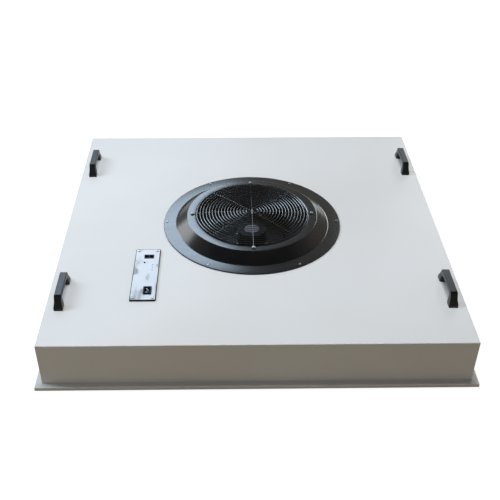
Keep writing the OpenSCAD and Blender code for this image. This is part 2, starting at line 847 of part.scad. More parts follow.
module bearing(z) {
    bore = shaft_d / 2 + run_clear;
    race = 2;
    dish = 0.5;
    translate([0, 0, z]) rotate_extrude() polygon([
        [bore, 0], [bore + race, 0], [bore + race, dish], [bearing_r - race, dish], [bearing_r - race, 0],
        [bearing_r, 0], [bearing_r, bearing_h], [bearing_r - race, bearing_h],
        [bearing_r - race, bearing_h - dish], [bore + race, bearing_h - dish],
        [bore + race, bearing_h], [bore, bearing_h]
    ]);
}

module bearings() {
    color("silver") {
        bearing(base_top + 1);
        bearing(tube_top - bearing_h);
    }
}

module stator() {
    slots = 12;
    color("#8d9094") difference() {
        rod(stator_r, stator_z, stator_z + stator_h);
        rod(tube_r, stator_z - cut, stator_z + stator_h + cut);
        around(slots, stator_r - 8) rod(3.4, stator_z - cut, stator_z + stator_h + cut);
        around(slots, stator_r - 4) box(10, 1.6, stator_z - cut, stator_z + stator_h + cut);
    }
}

module windings() {
    turn = [[tube_r + 4, 0, 2], [stator_r - 2, 0, 2], [stator_r - 2, 4, 1.5], [tube_r + 4, 4, 1.5]];
    color("#b36b2e") {
        translate([0, 0, stator_z + stator_h]) rotate_extrude() polygon(rounded(turn, 4));
        translate([0, 0, stator_z - 4]) rotate_extrude() polygon(rounded(turn, 4));
    }
}

module rotor() {
    boss_r = shaft_d / 2 + 4;
    color("#232528") difference() {
        rotate_extrude() polygon(rounded([
            [bell_inner_r, rotor_seat, 0], [rotor_flange_r, rotor_seat, 0],
            [rotor_flange_r, rotor_seat + 3, 1], [rotor_r, rotor_seat + 3, 2],
            [rotor_r, rotor_top_z, 2.5], [rotor_r - 5, rotor_top_z, 0.6],
            [rotor_r - 6, rotor_floor, 0.6], [0, rotor_floor, 0], [0, rotor_floor - rotor_top_t - 1.5, 0],
            [boss_r, rotor_floor - rotor_top_t - 1.5, 0], [boss_r, rotor_floor - rotor_top_t, 0],
            [bell_inner_r, rotor_floor - rotor_top_t, 0]
        ], 5));
        rod(shaft_d / 2, rotor_seat, rotor_floor - 1);
        around(6, rotor_flange_r - 6, 30)
            rod(small_screw_r + hole_clear, rotor_seat - cut, rotor_seat + 3 + cut);
    }
}

module magnet_ring() {
    color("#3a3d42") difference() {
        rod(bell_inner_r, stator_z, stator_z + stator_h);
        rod(bell_inner_r - magnet_t, stator_z - cut, stator_z + stator_h + cut);
    }
}

module shaft() { color("silver") rod(shaft_d / 2, base_top + 1.2, rotor_floor - 1); }

// Centre of the circle of radius r that passes through both points, on the side that bows forward
function arc_centre(p, q, r) =
    let (m = (p + q) / 2, d = q - p) m + [d[1], -d[0]] / norm(d) * sqrt(r * r - d * d / 4);

module blade_section() {
    p = [blade_in_r - 6, 0];
    q = (impeller_r + 6) * [cos(blade_sweep), -sin(blade_sweep)];
    c = arc_centre(p, q, blade_curve_r);
    a0 = atan2(p[1] - c[1], p[0] - c[0]);
    turn = ((atan2(q[1] - c[1], q[0] - c[0]) - a0 + 540) % 360) - 180;
    steps = 10;
    angles = [for (k = [0 : steps]) a0 + turn * k / steps];
    outer = [for (a = angles) c + (blade_curve_r + blade_t / 2) * [cos(a), sin(a)]];
    inner = [for (k = [steps : -1 : 0]) c + (blade_curve_r - blade_t / 2) * [cos(angles[k]), sin(angles[k])]];
    polygon(concat(outer, inner));
}

module impeller() {
    sink = disc_t / 2;
    color("#1f2124") {
        difference() {
            rod(impeller_r, backplate_z, backplate_top);
            rod(hub_hole_r, backplate_z - cut, backplate_top + cut);
            around(6, rotor_flange_r - 6, 30)
                rod(small_screw_r + hole_clear, backplate_z - cut, backplate_top + cut);
        }
        rotate_extrude() polygon(rounded([
            [eye_r, rotor_top_z, 0], [eye_r, shroud_turn_z, 12], [impeller_r, rim_z, 0],
            [impeller_r, rim_z + disc_t, 0], [eye_r + disc_t, shroud_turn_z + disc_t, 10],
            [eye_r + disc_t, rotor_top_z, 0]
        ], 8));
        intersection() {
            around(blade_n, 0) translate([0, 0, backplate_top - sink])
                linear_extrude(rotor_top_z - backplate_top) blade_section();
            rotate_extrude() polygon([
                [blade_in_r, backplate_top - sink], [impeller_r, backplate_top - sink],
                [impeller_r, rim_z + sink], [eye_r + 12, shroud_turn_z],
                [eye_r + sink, shroud_turn_z + 3], [blade_in_r, shroud_turn_z - 10]
            ]);
        }
    }
}

module rotor_screws() {
    color("silver") around(6, rotor_flange_r - 6, 30)
        pan_screw(small_screw_r, 3.4, 1.6, rotor_seat + 3, backplate_z - 1);
}

module rotor_badge() { color("#9aa0a6") rod(badge_d / 2, rotor_floor, rotor_floor + 0.8); }

// ---- Filter ----

module filter_frame() {
    flange_in = filter_flange_w;
    color("silver") difference() {
        box(2 * frame_half_w, 2 * frame_half_d, filter_z, filter_top);
        box(2 * (frame_half_w - flange_in), 2 * (frame_half_d - flange_in), filter_z - cut, filter_top + cut);
        box(2 * (frame_half_w - filter_wall), 2 * (frame_half_d - filter_wall), guard_floor, pack_top);
    }
}

module pleat_pack() {
    pack_w = 2 * (frame_half_w - filter_wall);
    pack_d = 2 * (frame_half_d - filter_wall);
    folds = 2 * floor(pack_w / pleat_pitch);
    step = pack_w / folds;
    // the medium's thickness measured straight up through a steep fold
    rise = medium_t / sin(atan2(step, pack_top - pack_z));
    swing = pack_top - pack_z - rise;
    edge = [for (i = [0 : folds]) [i * step - pack_w / 2, pack_z + (i % 2) * swing]];
    back = [for (i = [folds : -1 : 0]) edge[i] + [0, rise]];
    color("white") rotate([90, 0, 0]) translate([0, 0, -pack_d / 2]) linear_extrude(pack_d)
        polygon(concat(edge, back));
}

module filter_gasket() {
    color("#3a3b3d") square_frame(2 * frame_half_w - 2, 2 * frame_half_d - 2, 14, filter_top, seat_z);
}

module face_guard() {
    face_w = 2 * (frame_half_w - filter_wall);
    face_d = 2 * (frame_half_d - filter_wall);
    rim = filter_flange_w - filter_wall + 2;
    step_x = (face_w - 2 * rim + face_bar_w) / face_cells;
    step_y = (face_d - 2 * rim + face_bar_w) / face_cells;
    color("white") translate([0, 0, guard_floor]) linear_extrude(face_guard_t) difference() {
        square([face_w, face_d], center = true);
        for (i = [0 : face_cells - 1], j = [0 : face_cells - 1])
            translate([rim - face_w / 2 + i * step_x, rim - face_d / 2 + j * step_y])
                square([step_x - face_bar_w, step_y - face_bar_w]);
    }
}

module at_clamps() {
    for (side = [0 : 3], s = [-1, 1]) rotate(side * 90) {
        reach = side % 2 == 0 ? half_w : half_d;
        along = (side % 2 == 0 ? case_d : case_w) * clamp_at;
        translate([reach, s * along, 0]) children();
    }
}

module filter_clamps() {
    high = lip_h - sheet;
    // the strip lies under the lip, steps down and holds the filter frame from below
    strip = [
        [lip_w - hem_t - 1, high], [1, high], [1 - sheet - filter_gap, filter_z],
        [-sheet - filter_gap - 14, filter_z], [-sheet - filter_gap - 14, filter_z - clamp_t],
        [1 - sheet - filter_gap + 1, filter_z - clamp_t], [2, high - clamp_t], [lip_w - hem_t - 1, high - clamp_t]
    ];
    color("silver") at_clamps() difference() {
        rotate([90, 0, 0]) translate([0, 0, -clamp_l / 2]) linear_extrude(clamp_l) polygon(strip);
        translate([lip_w / 2, 0, 0]) rod(small_screw_r + hole_clear, high - clamp_t - cut, high + cut);
    }
}

module clamp_screws() {
    high = lip_h - sheet;
    color("silver") at_clamps() translate([lip_w / 2, 0, 0])
        hung_screw(small_screw_r, 3.8, 2.4, high - clamp_t, high);
}

case();
filter_seat();
acoustic_lining();
inlet_ring();
ring_screws();
finger_guard();
guard_screws();
handle_front_left();
handle_front_right();
handle_rear_left();
handle_rear_right();
handle_screws();
panel_gasket();
panel_plate();
panel_screws();
data_jack_left();
data_jack_right();
jack_contacts();
mains_inlet();
inlet_pins();
status_lamps();
power_lamp();
sensor_lens();
push_key();
key_switch();
circuit_board();
board_parts();
board_pillars();
control_box();
cable_gland();
motor_cable();
deck_grommet();
fan_deck();
deck_studs();
deck_mounts();
deck_nuts();
motor_base();
motor_screws();
bearings();
stator();
windings();
rotor();
magnet_ring();
shaft();
impeller();
rotor_screws();
rotor_badge();
filter_frame();
pleat_pack();
filter_gasket();
face_guard();
filter_clamps();
clamp_screws();
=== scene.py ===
import json
import math

import bmesh
import bpy
from mathutils import Matrix, Vector


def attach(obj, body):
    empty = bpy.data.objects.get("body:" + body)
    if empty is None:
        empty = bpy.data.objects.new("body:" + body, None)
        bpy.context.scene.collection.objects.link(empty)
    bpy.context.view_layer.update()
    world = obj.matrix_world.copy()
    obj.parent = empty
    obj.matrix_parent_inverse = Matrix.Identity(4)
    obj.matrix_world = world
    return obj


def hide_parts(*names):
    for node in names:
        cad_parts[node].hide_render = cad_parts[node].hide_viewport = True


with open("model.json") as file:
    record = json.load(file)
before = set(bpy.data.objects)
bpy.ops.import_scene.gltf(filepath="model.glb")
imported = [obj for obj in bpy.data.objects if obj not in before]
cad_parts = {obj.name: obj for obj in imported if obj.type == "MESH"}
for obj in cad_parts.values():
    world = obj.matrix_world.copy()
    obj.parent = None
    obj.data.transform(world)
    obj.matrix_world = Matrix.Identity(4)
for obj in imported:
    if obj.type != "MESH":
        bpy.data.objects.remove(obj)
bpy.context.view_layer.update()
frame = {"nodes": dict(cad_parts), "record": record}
nodes = frame["nodes"]
slotOf = {s["node"]: s["material_slot"] for s in frame["record"]["subparts"]}
bodyOf = {n: body for body, members in frame["record"]["behaviour"]["bodies"].items() for n in members}
scene = bpy.context.scene
print("frame:", len(nodes), "nodes")


# camera
viewpoint = {
    "aim": (-0.05563, -0.37613, 0.145), "distance": 2.2236, "yaw": 0.0124, "pitch": 0.6712,
    "lens": 56.36, "sensor": 36, "shiftX": 0.028, "shiftY": 0.09, "clipEnd": 60,
}
forward = Vector((
    math.sin(viewpoint["yaw"]) * math.cos(viewpoint["pitch"]),
    math.cos(viewpoint["yaw"]) * math.cos(viewpoint["pitch"]),
    -math.sin(viewpoint["pitch"]),
))
cameraData = bpy.data.cameras.new("camera")
cameraData.sensor_width = viewpoint["sensor"]
cameraData.lens = viewpoint["lens"]
cameraData.shift_x = viewpoint["shiftX"]
cameraData.shift_y = viewpoint["shiftY"]
cameraData.clip_end = viewpoint["clipEnd"]
camera = bpy.data.objects.new("camera", cameraData)
camera.location = Vector(viewpoint["aim"]) - forward * viewpoint["distance"]
camera.rotation_mode = "QUATERNION"
camera.rotation_quaternion = forward.to_track_quat("-Z", "Y")
scene.collection.objects.link(camera)
scene.camera = camera
scene.view_settings.view_transform = "Standard"
print("camera set")


# one output socket, which takes part in sums
class Value:
    def __init__(self, look, socket):
        self.look = look
        self.socket = socket

    def join(self, operation, a, b):
        return self.look.node("Math", {"operation": operation}, {0: a, 1: b})

    def __add__(self, other):
        return self.join("ADD", self, other)

    def __radd__(self, other):
        return self.join("ADD", other, self)

    def __sub__(self, other):
        return self.join("SUBTRACT", self, other)

    def __rsub__(self, other):
        return self.join("SUBTRACT", other, self)

    def __mul__(self, other):
        return self.join("MULTIPLY", self, other)

    def __rmul__(self, other):
        return self.join("MULTIPLY", other, self)

    def __truediv__(self, other):
        return self.join("DIVIDE", self, other)

    def __rtruediv__(self, other):
        return self.join("DIVIDE", other, self)

    def __pow__(self, other):
        return self.join("POWER", self, other)

    def over(self, level):
        return self.join("GREATER_THAN", self, level)

    def between(self, low, high):
        return self.look.node("MapRange", {"interpolation_type": "SMOOTHSTEP"},
                              {"Value": self, "From Min": low, "From Max": high})


# a node tree with one method for every node in it
class Tree:
    def __init__(self, tree):
        self.tree = tree

    def node(self, kind, settings=None, inputs=None, output=0):
        made = self.tree.nodes.new("ShaderNode" + kind)
        for name, value in (settings or {}).items():
            if name == "stops":
                for stop, (place, colour) in zip(made.color_ramp.elements, value):
                    stop.position = place
                    stop.color = (*colour, 1)
            else:
                setattr(made, name, value)
        for name, value in (inputs or {}).items():
            socket = made.inputs[name]
            if isinstance(value, Value):
                self.tree.links.new(value.socket, socket)
            elif socket.type == "RGBA":
                socket.default_value = (*value, 1)
            else:
                socket.default_value = value
        return Value(self, made.outputs[output])

    def blend(self, mask, a, b):
        return self.node("Mix", {"data_type": "RGBA"}, {0: mask, 6: a, 7: b}, 2)

    def rays(self, *kinds):
        seen = 0.0
        for kind in kinds:
            ray = self.node("LightPath", output=kind)
            seen = self.node("Math", {"operation": "MAXIMUM"}, {0: seen, 1: ray})
        return seen


# a material: one Principled shader and what varies over the surface
class Finish(Tree):
    def __init__(self, name, colour, roughness, metallic=0.0, coat=0.0):
        self.material = bpy.data.materials.new(name)
        self.material.use_nodes = True
        super().__init__(self.material.node_tree)
        self.shader = self.tree.nodes["Principled BSDF"]
        self.put("Base Color", colour)
        self.put("Roughness", roughness)
        self.put("Metallic", metallic)
        self.put("Coat Weight", coat)
        self.material.diffuse_color = (*colour, 1)
        self.place = self.node("TexCoord", output="Object")

    def put(self, name, value):
        socket = self.shader.inputs[name]
        if isinstance(value, Value):
            self.tree.links.new(value.socket, socket)
        elif socket.type == "RGBA":
            socket.default_value = (*value, 1)
        else:
            socket.default_value = value

    def placed(self, scale=(1, 1, 1), turn=(0, 0, 0)):
        return self.node("Mapping", {}, {"Vector": self.place, "Scale": scale, "Rotation": turn})

    def noise(self, scale, detail=2.0, place=None):
        inputs = {"Vector": place or self.place, "Scale": scale, "Detail": detail}
        return self.node("TexNoise", {}, inputs)

    def cells(self, scale, output="Distance"):
        return self.node("TexVoronoi", {}, {"Vector": self.place, "Scale": scale}, output)

    def part(self, axis, place=None):
        return self.node("SeparateXYZ", {}, {0: place or self.place}, axis)

    def bump(self, height, distance, strength=1.0):
        bump = self.node("Bump", {}, {"Height": height, "Distance": distance, "Strength": strength})
        self.put("Normal", bump)


finishes = {}


def keep(slot, look):
    finishes[slot] = look.material


# powder coat: faint orange peel, slow drift of tone, a few dust specks
whiteSteel = {
    "pale": (0.74, 0.765, 0.79), "deep": (0.70, 0.715, 0.725), "dust": (0.42, 0.42, 0.41),
    "peel": 520, "roughness": 0.27, "specular": 0.2,
}
look = Finish("whiteSteel", whiteSteel["pale"], whiteSteel["roughness"])
drift = look.noise(1.7, 3)
peel = look.noise(whiteSteel["peel"], 2)
speck = 1 - look.cells(95).between(0.02, 0.05)
tone = look.blend(drift.between(0.3, 0.7), whiteSteel["deep"], whiteSteel["pale"])
look.put("Base Color", look.blend(speck * 0.12, tone, whiteSteel["dust"]))
look.put("Roughness", whiteSteel["roughness"] + 0.08 * look.noise(9, 3) + 0.05 * peel)
look.put("Specular IOR Level", whiteSteel["specular"])
look.bump(peel, 0.00004, 0.6)
keep("white_steel", look)

# galvanised sheet: spangle
zincSteel = {"light": (0.62, 0.64, 0.66), "dark": (0.44, 0.46, 0.48)}
look = Finish("zincSteel", zincSteel["light"], 0.38, metallic=1.0)
spangle = look.part(0, look.cells(85, output="Color"))
mixed = spangle * 0.6 + 0.2 * look.noise(14, 3)
look.put("Base Color", look.blend(mixed, zincSteel["dark"], zincSteel["light"]))
look.put("Roughness", 0.3 + 0.22 * spangle)
look.bump(look.noise(300, 3), 0.00003, 0.5)
keep("zinc_steel", look)

# open-cell foam, darker in the middle of each pore as painted shade in its hollows
look = Finish("foam", (0.05, 0.05, 0.055), 0.95)
pore = look.cells(420)
# painted shade: the pore middles are darker than the struts between them
look.put("Base Color", look.blend(pore.between(0.1, 0.6), (0.015, 0.015, 0.017), (0.085, 0.085, 0.09)))
look.bump(pore, 0.0008, 0.8)
keep("foam", look)

# satin black coating of the inlet ring, left off inside the mouth
blackRing = {
    "colour": (0.003, 0.0031, 0.0034), "worn": (0.007, 0.007, 0.0075), "roughness": 0.5, "coatTo": 0.169,
    "coatFade": 0.003, "rim": (0.1476, 0.1484), "streak": (9, 60, 9), "ior": 1.15, "coatIor": 2.0,
    "coatRoughness": 0.18,
}
look = Finish("blackRing", blackRing["colour"], blackRing["roughness"])
flatPlace = look.node("VectorMath", {"operation": "MULTIPLY"}, {0: look.place, 1: (1, 1, 0)})
fromAxis = look.node("VectorMath", {"operation": "LENGTH"}, {0: flatPlace}, 1)
coatFrom = blackRing["coatTo"] - blackRing["coatFade"]
coated = fromAxis.between(coatFrom, blackRing["coatTo"] + blackRing["coatFade"])
grain = look.noise(1400, 2)
cloud = look.noise(16, 4)
streak = look.noise(1, 4, look.placed(blackRing["streak"], (0, 0, 0.5)))
look.put("Base Color", look.blend(cloud.between(0.35, 0.75), blackRing["colour"], blackRing["worn"]))
look.put("Roughness", blackRing["roughness"] + 0.15 * cloud)
look.put("IOR", blackRing["ior"])
rim = look.part(2).between(*blackRing["rim"])
look.put("Coat Weight", coated * rim * (0.8 + 0.2 * streak))
look.put("Coat IOR", blackRing["coatIor"])
look.put("Coat Roughness", blackRing["coatRoughness"])
look.bump(grain + streak * 0.6, 0.00005, 0.5)
keep("black_ring", look)

# bright zinc plating with fine turning marks
look = Finish("zincScrew", (0.78, 0.79, 0.8), 0.24, metallic=1.0)
haze = look.noise(700, 3)
look.put("Base Color", look.blend(haze, (0.6, 0.61, 0.62), (0.8, 0.81, 0.82)))
look.put("Roughness", 0.2 + 0.18 * haze)
look.bump(look.noise(1, 3, look.placed((900, 900, 6000))), 0.00003, 0.5)
keep("zinc_screw", look)

# drawn and plated wire
look = Finish("guardWire", (0.5, 0.51, 0.53), 0.15, metallic=1.0)
draw = look.noise(260, 4)
look.put("Base Color", look.blend(draw, (0.24, 0.245, 0.25), (0.36, 0.365, 0.37)))
look.put("Roughness", 0.1 + 0.1 * draw)
look.bump(look.noise(700, 2), 0.00001, 0.2)
keep("guard_wire", look)

# moulded nylon with a spark-eroded grain
nylon = {
    "colour": (0.004, 0.0045, 0.005), "worn": (0.009, 0.0095, 0.0105), "roughness": 0.28, "grain": 1500,
}
look = Finish("handleNylon", nylon["colour"], nylon["roughness"])
grain = look.noise(nylon["grain"], 2)
rub = look.noise(26, 4)
look.put("Base Color", look.blend(rub.between(0.4, 0.8), nylon["colour"], nylon["worn"]))
look.put("Roughness", nylon["roughness"] + 0.12 * grain - 0.06 * rub)
look.bump(grain, 0.00009, 0.7)
keep("handle_nylon", look)

# matt rubber
look = Finish("blackRubber", (0.014, 0.014, 0.015), 0.72)
dust = look.noise(60, 5)
look.put("Base Color", look.blend(dust.between(0.5, 0.85), (0.012, 0.012, 0.013), (0.04, 0.04, 0.04)))
look.put("Roughness", 0.64 + 0.2 * dust)
look.bump(look.noise(900, 3), 0.00006, 0.6)
keep("black_rubber", look)

# bright stainless sheet: fine brushing along its length, grey blotches of painted reflection in its
# colour and roughness, and a slow waviness
stainless = {
    "light": (0.77, 0.73, 0.7), "dark": (0.4, 0.39, 0.38), "roughness": 0.44, "wave": 0.0005,
}
look = Finish("stainless", stainless["light"], stainless["roughness"], metallic=1.0)
brush = look.noise(1, 3, look.placed((2600, 30, 2600)))
# grey blotches painted into the colour stand in for the sheet's reflections of its surroundings
paintedReflection = look.noise(26, 3, look.placed((1, 0.45, 1), (0, 0, 0.2))).between(0.5, 0.62)
look.put("Base Color", look.blend(brush * 0.2 + 0.6 * paintedReflection, stainless["light"], stainless["dark"]))
look.put("Roughness", stainless["roughness"] + 0.1 * paintedReflection + 0.06 * brush)
wavy = look.noise(15, 1, look.placed((1, 0.6, 1)))
look.bump(wavy + brush * 0.01, stainless["wave"])
keep("stainless", look)

# moulded black plastic
look = Finish("blackPlastic", (0.007, 0.007, 0.0075), 0.36)
look.put("IOR", 1.35)
grain = look.noise(1700, 2)
look.put("Base Color", look.blend(look.noise(90, 3), (0.005, 0.005, 0.0055), (0.011, 0.011, 0.0115)))
look.put("Roughness", 0.3 + 0.16 * grain)
look.bump(grain, 0.00004, 0.5)
keep("black_plastic", look)

# flash gold on the contacts
look = Finish("goldContact", (0.83, 0.62, 0.25), 0.2, metallic=1.0)
haze = look.noise(2500, 2)
look.put("Base Color", look.blend(haze, (0.72, 0.52, 0.2), (0.9, 0.7, 0.32)))
look.put("Roughness", 0.16 + 0.14 * haze)
keep("gold_contact", look)

# nickel plate on the blades
look = Finish("pinMetal", (0.72, 0.72, 0.7), 0.25, metallic=1.0)
haze = look.noise(1, 3, look.placed((400, 400, 3000)))
look.put("Base Color", look.blend(haze, (0.6, 0.6, 0.58), (0.8, 0.8, 0.78)))
look.put("Roughness", 0.2 + 0.15 * haze)
keep("pin_metal", look)


# clear resin lens over a small die
def lens(name, core, edge):
    look = Finish(name, core, 0.08, coat=0.6)
    depth = look.noise(700, 2)
    look.put("Base Color", look.blend(depth.between(0.35, 0.65), core, edge))
    look.put("Roughness", 0.06 + 0.1 * depth)
    return look


keep("dark_lens", lens("darkLens", (0.03, 0.036, 0.045), (0.075, 0.085, 0.1)))
keep("red_lens", lens("redLens", (0.55, 0.06, 0.07), (0.72, 0.2, 0.2)))
keep("pale_lens", lens("paleLens", (0.62, 0.65, 0.68), (0.8, 0.82, 0.85)))

# circuit board: solder mask over copper runs
look = Finish("boardGreen", (0.01, 0.14, 0.06), 0.35)
runX = look.part(0, look.cells(180, output="Color"))
look.put("Base Color", look.blend(runX.over(0.55) * 0.7, (0.008, 0.11, 0.05), (0.03, 0.22, 0.09)))
look.put("Roughness", 0.3 + 0.15 * look.noise(400, 2))
look.bump(runX.over(0.55), 0.00004, 0.7)
keep("board_green", look)


# turned or ground metal, with its marks across the axis of turning
def turned(name, light, dark, rough, marks):
    look = Finish(name, light, rough, metallic=1.0)
    ring = look.noise(1, 4, look.placed((40, 40, marks)))
    look.put("Base Color", look.blend(ring, dark, light))
    look.put("Roughness", rough - 0.05 + 0.16 * ring)
    look.bump(ring, 0.00002, 0.5)
    return look


keep("brass_pillar", turned("brassPillar", (0.8, 0.62, 0.3), (0.62, 0.46, 0.2), 0.3, 2500))
keep("bearing_steel", turned("bearingSteel", (0.68, 0.69, 0.71), (0.52, 0.53, 0.55), 0.22, 3000))
keep("lamination", turned("lamination", (0.36, 0.37, 0.38), (0.16, 0.165, 0.17), 0.45, 1600))
keep("magnet", turned("magnet", (0.2, 0.2, 0.215), (0.12, 0.12, 0.13), 0.5, 700))

# cable sheath
look = Finish("cableSheath", (0.022, 0.022, 0.024), 0.5)
ridge = look.noise(1, 2, look.placed((300, 300, 60)))
look.put("Base Color", look.blend(ridge, (0.016, 0.016, 0.018), (0.032, 0.032, 0.034)))
look.put("Roughness", 0.44 + 0.16 * ridge)
look.bump(ridge, 0.00008, 0.5)
keep("cable_sheath", look)

# die-cast aluminium
look = Finish("castAluminium", (0.46, 0.47, 0.49), 0.5, metallic=1.0)
skin = look.noise(220, 5)
look.put("Base Color", look.blend(skin, (0.36, 0.37, 0.385), (0.56, 0.57, 0.59)))
look.put("Roughness", 0.42 + 0.2 * skin)
look.bump(skin, 0.00015, 0.6)
keep("cast_aluminium", look)

# enamelled copper, wound round the core
look = Finish("copperWire", (0.62, 0.26, 0.1), 0.3, metallic=0.85)
strand = look.noise(1, 2, look.placed((900, 900, 2200)))
look.put("Base Color", look.blend(strand, (0.4, 0.15, 0.06), (0.75, 0.36, 0.16)))
look.put("Roughness", 0.24 + 0.2 * strand)
look.bump(strand, 0.0002, 0.7)
keep("copper_wire", look)

# satin paint on the rotor bell
look = Finish("blackRotor", (0.003, 0.003, 0.0034), 0.3)
look.put("IOR", 1.25)
grain = look.noise(1100, 2)
look.put("Base Color", look.blend(look.noise(50, 4), (0.0025, 0.0025, 0.003), (0.005, 0.0052, 0.006)))
look.put("Roughness", 0.26 + 0.12 * grain)
look.bump(grain, 0.00005, 0.5)
keep("black_rotor", look)

# glass-filled plastic of the impeller
look = Finish("impellerBlack", (0.008, 0.008, 0.009), 0.5)
look.put("IOR", 1.35)
flow = look.noise(70, 4)
look.put("Base Color", look.blend(flow, (0.002, 0.002, 0.0022), (0.005, 0.005, 0.0055)))
look.put("Roughness", 0.42 + 0.18 * flow)
look.bump(look.noise(1300, 2), 0.00005, 0.5)
keep("impeller_black", look)

# plain disc on the rotor
look = Finish("badgeGrey", (0.2, 0.21, 0.225), 0.38, metallic=0.6)
scuff = look.noise(130, 4)
look.put("Base Color", look.blend(scuff, (0.15, 0.158, 0.17), (0.26, 0.27, 0.285)))
look.put("Roughness", 0.3 + 0.2 * scuff)
keep("badge_grey", look)

# anodised extrusion with its die lines
look = Finish("filterAluminium", (0.7, 0.71, 0.72), 0.38, metallic=1.0)
line = look.noise(1, 3, look.placed((8, 8, 3000)))
mixed = line * 0.6 + 0.3 * look.noise(6, 3)
look.put("Base Color", look.blend(mixed, (0.6, 0.61, 0.625), (0.78, 0.785, 0.79)))
look.put("Roughness", 0.34 + 0.16 * line)
look.bump(line, 0.00003, 0.5)
keep("filter_aluminium", look)

# glass paper, with glue beads across the pleats
look = Finish("filterMedium", (0.84, 0.84, 0.82), 0.9)
fibre = look.noise(1, 5, look.placed((700, 90, 700)))
beadPitch = 0.0254
bead = look.node("Math", {"operation": "FRACT"}, {0: look.part(1) / beadPitch + 40.0})
beadMask = bead.over(0.94)
paper = look.blend(fibre, (0.78, 0.78, 0.755), (0.9, 0.9, 0.885))
look.put("Base Color", look.blend(beadMask, paper, (0.7, 0.71, 0.69)))
look.put("Roughness", 0.92 - 0.45 * beadMask)
look.bump(fibre * 0.4 + beadMask, 0.0006, 0.7)
keep("filter_medium", look)

# powder-coated mesh on the filter's face
look = Finish("whiteMesh", (0.8, 0.81, 0.81), 0.45)
peel = look.noise(700, 2)
look.put("Base Color", look.blend(look.noise(5, 3), (0.74, 0.745, 0.745), (0.85, 0.855, 0.855)))
look.put("Roughness", 0.4 + 0.12 * peel)
look.bump(peel, 0.00004, 0.6)
keep("white_mesh", look)
print("finishes:", len(finishes))

for name, node in nodes.items():
    node.data.materials.clear()
    node.data.materials.append(finishes[slotOf[name]])


weld = 0.000002
planeDist = 1e-7


# a piece from a bmesh: it takes its body and finish from the node that it stands for
def makePiece(name, bm, node, replaces=True, smooth=32.0, flat=10.0):
    bmesh.ops.remove_doubles(bm, verts=bm.verts, dist=weld)
    for edge in bm.edges:
        edge.smooth = len(edge.link_faces) == 2 and edge.calc_face_angle(0) < math.radians(smooth)
    for face in bm.faces:
        face.smooth = face.calc_area() < flat
    mesh = bpy.data.meshes.new(name)
    bm.to_mesh(mesh)
    bm.free()
    mesh.materials.append(finishes[slotOf[node]])
    piece = bpy.data.objects.new(name, mesh)
    scene.collection.objects.link(piece)
    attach(piece, bodyOf[node])
    if replaces:
        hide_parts(node)
    return piece


# rounds edges or corners
def soften(bm, geom, radius, segments, affect="EDGES", clamp=False):
    bmesh.ops.bevel(bm, geom=geom, offset=radius, offset_type="OFFSET", segments=segments, profile=0.5,
                    affect=affect, clamp_overlap=clamp, material=-1)


# gives thickness to the faces of a flat shape
def thicken(bm, move):
    grown = bmesh.ops.extrude_face_region(bm, geom=bm.faces[:])["geom"]
    bmesh.ops.translate(bm, verts=[g for g in grown if isinstance(g, bmesh.types.BMVert)], vec=move)
    bmesh.ops.recalc_face_normals(bm, faces=bm.faces[:])


# cuts the middle out of a flat face and leaves its border
def hollow(bm, border):
    middle = bm.faces[:]
    bmesh.ops.inset_region(bm, faces=middle, thickness=border, use_even_offset=True, use_boundary=True)
    bmesh.ops.delete(bm, geom=middle, context="FACES")


dressing = {"weld": 0.000004, "flatTurn": 0.6, "sharpTurn": 50, "segments": 2, "smallFace": 0.05}


# a copy of a node with its doubles merged, its flats joined and, given a radius, its edges softened
def dress(node, radius):
    bm = bmesh.new()
    bm.from_mesh(nodes[node].data)
    bmesh.ops.remove_doubles(bm, verts=bm.verts, dist=dressing["weld"])
    bmesh.ops.dissolve_limit(bm, angle_limit=math.radians(dressing["flatTurn"]), verts=bm.verts,
                             edges=bm.edges, use_dissolve_boundaries=False, delimit=set())
    if radius:
        turn = math.radians(dressing["sharpTurn"])
        sharp = [e for e in bm.edges if len(e.link_faces) == 2 and e.calc_face_angle(0) > turn]
        soften(bm, sharp, radius, dressing["segments"], clamp=True)
    flat = 40 * radius ** 2 if radius else dressing["smallFace"]
    return makePiece(node + "Dressed", bm, node, flat=flat)


# edges of an outline in the X-Z plane, with each corner (x, z, radius) rounded
def outline(bm, corners, segments=6):
    points = [bm.verts.new((x, 0, z)) for x, z, radius in corners]
    bm.faces.new(points)
    count = len(points)
    spots = [p.co.copy() for p in points]
    for i, (point, (x, z, radius)) in enumerate(zip(points, corners)):
        if radius:
            before = (spots[i - 1] - spots[i]).normalized()
            after = (spots[(i + 1) % count] - spots[i]).normalized()
            half = before.angle(after) / 2
            soften(bm, [point], radius / math.tan(half), segments, "VERTICES")
    return bm.faces[:]


# turns an outline round the Z axis; an outline that starts on the axis isn't closed
def spun(bm, corners, steps, segments, closed=True):
    faces = outline(bm, corners, segments)
    edges = list(bm.edges)
    bmesh.ops.delete(bm, geom=faces, context="FACES_ONLY")
    if not closed:
        onAxis = [e for e in edges if all(abs(v.co.x) < planeDist for v in e.verts)]
        bmesh.ops.delete(bm, geom=onAxis, context="EDGES")
    bmesh.ops.spin(bm, geom=list(bm.verts) + list(bm.edges), cent=(0, 0, 0), axis=(0, 0, 1),
                   angle=2 * math.pi, steps=steps, use_merge=True)
    bmesh.ops.remove_doubles(bm, verts=bm.verts, dist=weld)
    bmesh.ops.recalc_face_normals(bm, faces=bm.faces)


def copyTo(target, source, matrix):
    mesh = bpy.data.meshes.new("copy")
    source.to_mesh(mesh)
    mesh.transform(matrix)
    target.from_mesh(mesh)
    bpy.data.meshes.remove(mesh)


